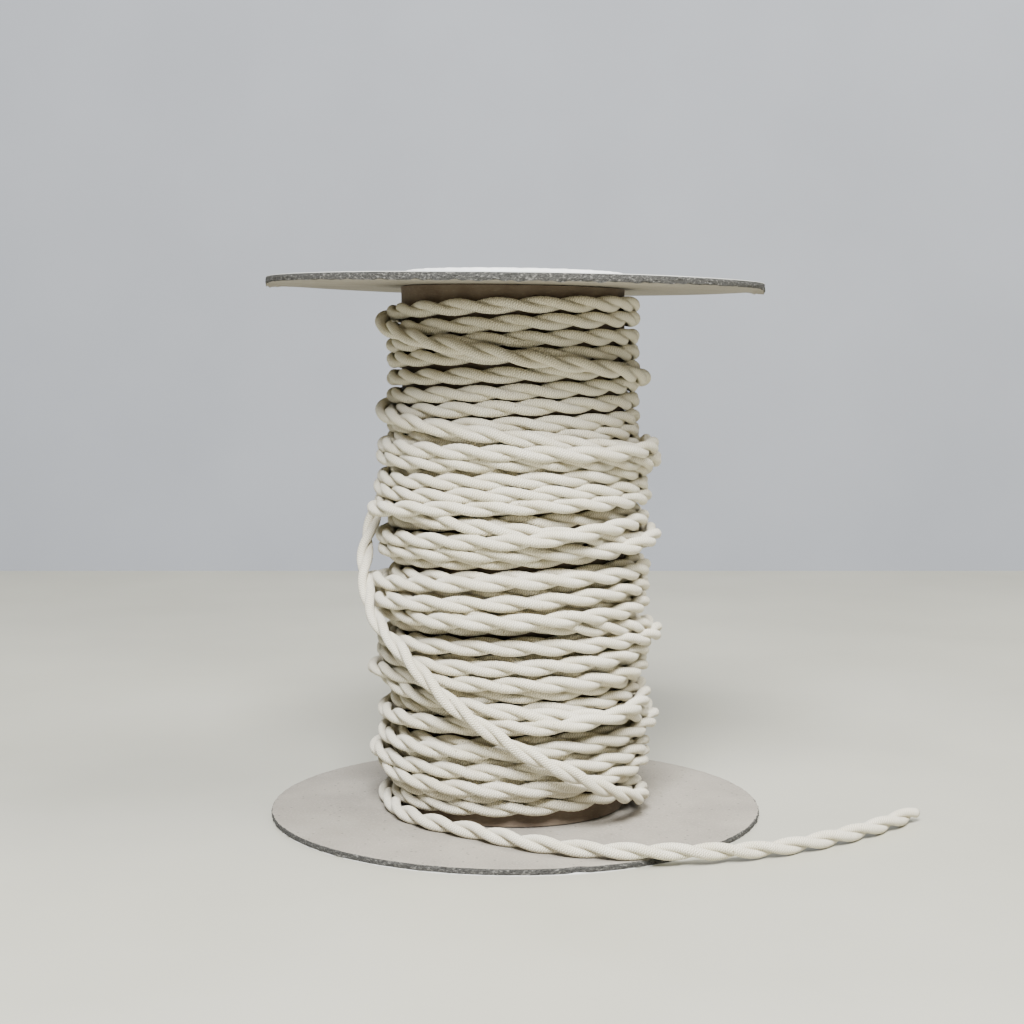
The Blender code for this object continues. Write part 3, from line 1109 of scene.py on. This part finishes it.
@dataclass
class Flange(TurnedPart):
    """A greyboard disc with white paper on its outside."""

    name: str = "lower"
    radius: float = 0.1
    bore: float = BORE
    low: float = 0.0007
    high: float = 0.0025
    paper_low: float = 0.0
    paper_high: float = 0.0004
    tilt_degrees: float = 0.0      # the disc's right side stands lower by this much
    dish: float = 0.0              # how much higher the middle stands than the rim
    sag: float = 0.0               # how far the rim waves up and down
    seed: int = 1
    dents: tuple = ()              # angle, width in degrees, and depth in mm, of each
    splays: tuple = ()             # the same, for where the lower plies hang open
    face_rings: int = 22
    rim_rings: int = 8
    rim_rough: float = 0.00022
    corner_wear: float = 0.00025   # how far both corners of the rim are worn back
    end_wear: float = 0.9          # how much rougher the rim is at its right end
    paper_rings: int = 12
    paper_margin: float = 0.00035  # how far the paper stays inside the board's edge
    paper_rough: float = 0.00012

    def bent(self, points: np.ndarray) -> np.ndarray:
        """Warp, dish and tilt the disc.

        With q the share of the radius, squared, height gains sag × q × waves and
        dish × (1 - q), and loses slope × x.

        Args:
            points: the flat disc's points.

        Returns:
            The bent disc's points.
        """
        x, y, z = points[..., 0], points[..., 1], points[..., 2]
        share = np.hypot(x, y) / self.radius
        around = np.arctan2(y, x)
        warp = waves(around, (2.0, 3.0, 5.0), (0.6, 0.3, 0.15), self.seed + 5)
        slope = math.tan(math.radians(self.tilt_degrees))
        lift = self.sag * share ** 2 * warp + self.dish * (1 - share ** 2)
        return np.stack([x, y, z + lift - slope * x], -1)

    def rim_radius(self, height_share: np.ndarray) -> np.ndarray:
        """The cut rim: rough by noise, worn at both corners, and dented where it was knocked.

        Args:
            height_share: from 0 at the lower face to 1 at the upper, one for each ring.

        Returns:
            Radius, rings × angles.
        """
        rng = np.random.default_rng(self.seed)
        angle = self.angles()
        grain = rng.normal(0, 1, (len(height_share), self.segments))
        grain = (grain + np.roll(grain, 1, 1) + 0.5 * np.roll(grain, 2, 1)) / 1.5
        ragged = waves(angle, (37.0, 61.0, 97.0, 151.0), (0.3, 0.3, 0.25, 0.2), self.seed)
        ends = 1 + self.end_wear * np.clip(np.cos(angle), 0, 1) ** 24
        corner = self.corner_wear * (2 * np.abs(height_share - 0.5)) ** 3
        radius = self.radius - corner[:, None] - self.rim_rough * ends * (
            0.9 + 0.45 * grain + 0.5 * ragged)
        for at, width, depth in self.dents:
            off = (np.degrees(angle) - at + 180) % TURN - 180
            radius = radius - depth * MM * np.exp(-(off / width) ** 2)
        return np.minimum(radius, self.radius)

    def hang(self) -> np.ndarray:
        """How far the lowest ply hangs: each splay is a bell curve, made ragged by waves.

        Returns:
            A height for each angle.
        """
        angle = self.angles()
        ragged = 1 + 0.5 * waves(angle, (43.0, 89.0, 127.0), (0.5, 0.4, 0.4), self.seed + 3)
        hang = np.zeros(self.segments)
        for at, width, depth in self.splays:
            off = (np.degrees(angle) - at + 180) % TURN - 180
            hang += depth * MM * np.exp(-(off / width) ** 2) * ragged
        return np.clip(hang, 0, None)

    def board(self, face: bpy.types.Material, edge: bpy.types.Material) -> bpy.types.Object:
        """The greyboard disc, its outline run counter-clockwise from the bore's lower corner.

        Args:
            face: the finish of its faces.
            edge: the finish of its cut rim.

        Returns:
            The finished piece.
        """
        rim_share = np.linspace(0, 1, self.rim_rings)
        rim = self.rim_radius(rim_share)
        face_share = np.linspace(0, 1, self.face_rings)[:-1, None]
        under = self.bore + (rim[0] - self.bore) * face_share
        over = self.bore + (rim[-1] - self.bore) * face_share[::-1]
        radius = np.vstack([under, rim, over])
        rim_low = self.low - self.hang()
        height = np.vstack([np.full_like(under, self.low),
                            rim_low + (self.high - rim_low) * rim_share[:, None],
                            np.full_like(over, self.high)])
        points = self.bent(self.turned(radius, height))
        rows = np.arange(len(radius))
        at_rim = (rows >= len(under)) & (rows < len(under) + self.rim_rings - 1)
        skin = Skin(points, np.arange(len(radius) + 1.0), True, at_rim.astype(int))
        piece = piece_from(f"{self.name}_disc_board", [skin], [face, edge], 50)
        return stand_for(piece, f"{self.name}_flange_board")

    def paper(self, white: bpy.types.Material) -> bpy.types.Object:
        """The paper, cut a hair smaller than the board, with a slightly ragged edge.

        Args:
            white: its finish.

        Returns:
            The finished piece.
        """
        share = np.linspace(0, 1, self.paper_rings)[:, None]
        ragged = waves(self.angles(), (11.0, 29.0, 83.0), (0.4, 0.3, 0.3), self.seed + 9)
        edge = self.radius - self.paper_margin - self.paper_rough * ragged
        out = self.bore + (edge - self.bore) * share
        radius = np.vstack([out, out[::-1]])
        height = np.concatenate([np.full(len(out), self.paper_low),
                                 np.full(len(out), self.paper_high)])[:, None]
        points = self.bent(self.turned(radius, height))
        skin = Skin(points, np.arange(len(radius) + 1.0), True)
        piece = piece_from(f"{self.name}_disc_paper", [skin], [white], 50)
        return stand_for(piece, f"{self.name}_flange_facing")


@dataclass
class Tube(TurnedPart):
    """The spiral-wound kraft tube."""

    segments: int = 240
    levels: int = 90
    outer: float = 0.045
    inner: float = BORE
    low: float = 0.0028
    high: float = 0.2132
    strip_width: float = 0.105     # height that one wound strip gains in a turn
    seam_depth: float = 0.00035
    seam_width: float = 0.0009
    wobble: float = 0.00005        # how far the wall waves in and out
    lean: float = LEAN
    slope: float = 0.0             # its upper end is cut to the upper disc's tilt

    def build(self, kraft: bpy.types.Material) -> bpy.types.Object:
        """Outer radius less a narrow groove along the strips' seam, with a faint wave.

        The outer wall leans by lean × share of the height, and height loses slope × x ×
        share of the height.

        Args:
            kraft: its finish.

        Returns:
            The finished piece.
        """
        levels = np.linspace(self.low, self.high, self.levels)[:, None]
        angle = self.angles()[None, :]
        seam = (levels / self.strip_width - angle / (2 * math.pi)) % 1.0
        off = np.minimum(seam, 1 - seam) * self.strip_width
        groove = self.seam_depth * np.exp(-(off / self.seam_width) ** 2)
        wobble = self.wobble * waves(angle, (7.0, 13.0), (0.6, 0.4), 3)
        outside = self.outer - groove + wobble
        inside = np.full_like(outside, self.inner)
        radius = np.vstack([outside, inside[::-1]])
        height = np.vstack([levels, levels[::-1]])
        points = self.turned(radius, np.broadcast_to(height, radius.shape))
        share = height / self.high
        points[:len(levels), :, 0] += self.lean * share[:len(levels)]
        points[..., 2] -= self.slope * points[..., 0] * share
        skin = Skin(points, np.arange(len(radius) + 1.0), True)
        piece = piece_from("kraft_tube", [skin], [kraft], 50)
        return stand_for(piece, "core_tube")


@dataclass
class Sleeve(TurnedPart):
    """The white sleeve, with its upper end curled out over the upper disc."""

    segments: int = 480
    wall_outer: float = 0.0393
    bore: float = 0.0381
    low: float = 0.0003
    crown: float = 0.2205
    curl_out: float = 0.0446
    seat: float = 0.2163
    slope: float = 0.0
    curl_rings: int = 22
    wall_rings: int = 12
    square: float = 0.72           # how square the curl is: 1 is an ellipse, 0 a box
    crease: float = 0.00012
    crown_sag: float = 0.00010
    inner_drop: float = 0.0002     # how much lower the curl ends inside than outside

    def build(self, white: bpy.types.Material) -> bpy.types.Object:
        """Foot, outer wall, three quarters of a squared ellipse over the curl, and the bore.

        Waves crease the curl, and towards the top height loses slope × x.

        Args:
            white: its finish.

        Returns:
            The finished piece.
        """
        over = np.radians(np.linspace(-90, 180, self.curl_rings))
        middle = (self.bore + self.curl_out) / 2
        half_width = (self.curl_out - self.bore) / 2
        crown = self.crown - self.curl_out * self.slope
        half_height = (crown - self.seat) / 2
        cos, sin = np.cos(over), np.sin(over)
        curl_r = middle + half_width * np.sign(cos) * np.abs(cos) ** self.square
        curl_z = self.seat + half_height * (1 + np.sign(sin) * np.abs(sin) ** self.square)
        wall_z = np.linspace(self.low, self.seat, self.wall_rings)
        bore_z = wall_z[::-1] - self.inner_drop * (wall_z[::-1] > self.seat / 2)
        radius = np.concatenate([np.full(self.wall_rings, self.wall_outer), curl_r[1:],
                                 np.full(self.wall_rings, self.bore)])
        height = np.concatenate([wall_z, curl_z[1:], bore_z])
        angle = self.angles()[None, :]
        creases = waves(angle, (23.0, 41.0, 67.0), (0.4, 0.35, 0.25), 17)
        on_curl = np.clip((height - self.seat) / (crown - self.seat), 0, 1)[:, None]
        radius = radius[:, None] - self.crease * creases * on_curl
        height = height[:, None] - self.crown_sag * (1 + creases) * on_curl ** 2
        points = self.turned(radius, height)
        upper = np.clip(points[..., 2] / crown, 0, 1)
        points[..., 2] -= self.slope * points[..., 0] * upper ** 8
        skin = Skin(points, np.arange(len(radius) + 1.0), True)
        piece = piece_from("paper_sleeve", [skin], [white], 60)
        return stand_for(piece, "inner_sleeve")


# --- the studio --------------------------------------------------------------------------

@dataclass
class Studio:
    """A pale table, a pale wall behind it, soft lights from above, and the camera."""

    table_end: float = 0.82
    half_width: float = 6.0
    near_edge: float = -6.0
    wall_height: float = 3.0
    wall_foot: float = -1.0
    room_colour: str = "#e6e8ea"
    room_strength: float = 0.07
    lens_mm: float = 65.0
    sensor_mm: float = 36.0
    camera_place: tuple[float, float, float] = (-0.00133, -0.75067, 0.18884)
    pitch_down: float = 5.032

    def flat_piece(self, name: str, corners: list[tuple[float, float, float]],
                   surface: PlainSurface) -> None:
        """One four-cornered piece of the stage.

        Args:
            name: its name.
            corners: its corners, in order round it.
            surface: its finish.
        """
        mesh = bpy.data.meshes.new(name)
        mesh.from_pydata(corners, [], [(0, 1, 2, 3)])
        mesh.materials.append(surface.material())
        piece = bpy.data.objects.new(name, mesh)
        bpy.context.collection.objects.link(piece)

    def light(self, name: str, place: tuple[float, float, float], aim: tuple[float, float, float],
              size: float, power: float, colour: str) -> None:
        """One square soft light, aimed at a point.

        Args:
            name: its name.
            place: where it is.
            aim: the point that it faces.
            size: its side.
            power: in watts.
            colour: as an sRGB hex value.
        """
        data = bpy.data.lights.new(name, "AREA")
        data.size = size
        data.energy = power
        data.color = linear(colour)[:3]
        lamp = bpy.data.objects.new(name, data)
        bpy.context.collection.objects.link(lamp)
        back = np.array(place) - np.array(aim)
        lamp.location = place
        lamp.rotation_euler = (math.atan2(math.hypot(back[0], back[1]), back[2]), 0.0,
                               math.atan2(back[1], back[0]) + math.pi / 2)

    def build(self) -> None:
        """Set the stage."""
        w, near, far = self.half_width, self.near_edge, self.table_end
        foot, top = self.wall_foot, self.wall_height
        table = PlainSurface("pale_stone_table", "#b2b0a1", "#aaa899", 0.42)
        wall = PlainSurface("painted_wall", "#93969c", "#8e9197", 0.8)
        self.flat_piece("table", [(-w, near, 0), (w, near, 0), (w, far, 0), (-w, far, 0)], table)
        self.flat_piece("wall", [(-w, far, foot), (w, far, foot), (w, far, top), (-w, far, top)],
                        wall)
        self.light("key", (-0.08, -1.2, 1.36), (0, 0, 0.08), 0.66, 112.0, "#fbfcff")
        self.light("overhead", (1.0, -0.3, 1.5), (0.1, 0, 0.05), 1.0, 36.0, "#fffdf6")
        world = bpy.data.worlds.new("room")
        world.use_nodes = True
        background = world.node_tree.nodes["Background"]
        background.inputs["Color"].default_value = linear(self.room_colour)
        background.inputs["Strength"].default_value = self.room_strength
        bpy.context.scene.world = world
        data = bpy.data.cameras.new("camera")
        data.lens = self.lens_mm
        data.sensor_width = self.sensor_mm
        camera = bpy.data.objects.new("camera", data)
        bpy.context.collection.objects.link(camera)
        camera.location = self.camera_place
        camera.rotation_euler = (math.radians(90 - self.pitch_down), 0.0, 0.0)
        bpy.context.scene.camera = camera


def main() -> None:
    """Build the studio, the flex and the spool, in that order."""
    logging.basicConfig(level=logging.INFO, format="%(name)s: %(message)s")
    Studio().build()

    tube_low, tube_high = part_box("core_tube")
    lower_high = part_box("lower_flange_board")[1]
    upper_low, upper_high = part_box("upper_flange_board")
    lower_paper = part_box("lower_flange_facing")
    upper_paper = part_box("upper_flange_facing")
    sleeve_low, sleeve_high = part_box("inner_sleeve")
    outer_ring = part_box("cable_outer_layer")[1]

    winding = Winding(tube_radius=tube_high.x, disc_radius=lower_high.x, face_z=lower_high.z,
                      lie_radius=outer_ring.x + Winding.cord_radius, dish=DISH)
    half_way = winding.first_angle + TURN * 15
    flex = TwistedFlex(winding, [
        Stretch("flex_first_layer_low", "cable_inner_layer", winding.first_angle),
        Stretch("flex_first_layer_high", "cable_inner_layer", half_way),
        Stretch("flex_steep_pass", "cable_crossover", winding.descent_angle),
        Stretch("flex_second_layer", "cable_outer_layer", winding.outer_angle),
        Stretch("flex_free_end", "cable_free_end", winding.free_angle, Lay.LOOSE, End.CUT),
    ])
    flex.build([CottonBraid().material(), CoreInsulation().material(), CoreEnd().material()])

    board, edge = Greyboard().material(), TornBoardEdge().material()
    white = WhitePaper().material()
    underside, top = lower_paper[0].z, upper_paper[1].z
    lower = Flange(name="lower", radius=lower_high.x, low=underside + SHEET, high=lower_high.z,
                   paper_low=underside, paper_high=underside + SHEET - GLUE, dish=DISH, seed=2,
                   dents=((283.0, 1.8, 1.1), (58.0, 4.0, 0.9), (66.0, 1.5, 0.8)))
    upper = Flange(name="upper", radius=upper_high.x, low=upper_low.z, high=top - SHEET,
                   paper_low=top - SHEET + GLUE, paper_high=top, tilt_degrees=TILT, sag=0.0003,
                   seed=7, dents=((184.5, 1.2, 0.4),),
                   splays=((180.0, 13.0, 1.1), (357.0, 9.0, 1.3), (8.0, 3.0, 0.8),
                           (270.0, 48.0, 0.7)))
    for disc in (lower, upper):
        disc.board(board, edge)
        disc.paper(white)
    slope = math.tan(math.radians(TILT))
    tube = Tube(outer=tube_high.x, low=tube_low.z + DISH, high=tube_high.z, slope=slope)
    tube.build(KraftTube().material())
    sleeve_white = WhitePaper("white_sleeve_paper", "#dfdfdc", "#d4d4d1")
    sleeve = Sleeve(low=sleeve_low.z, crown=sleeve_high.z, curl_out=sleeve_high.x, slope=slope)
    sleeve.build(sleeve_white.material())


if __name__ == "__main__":
    main()
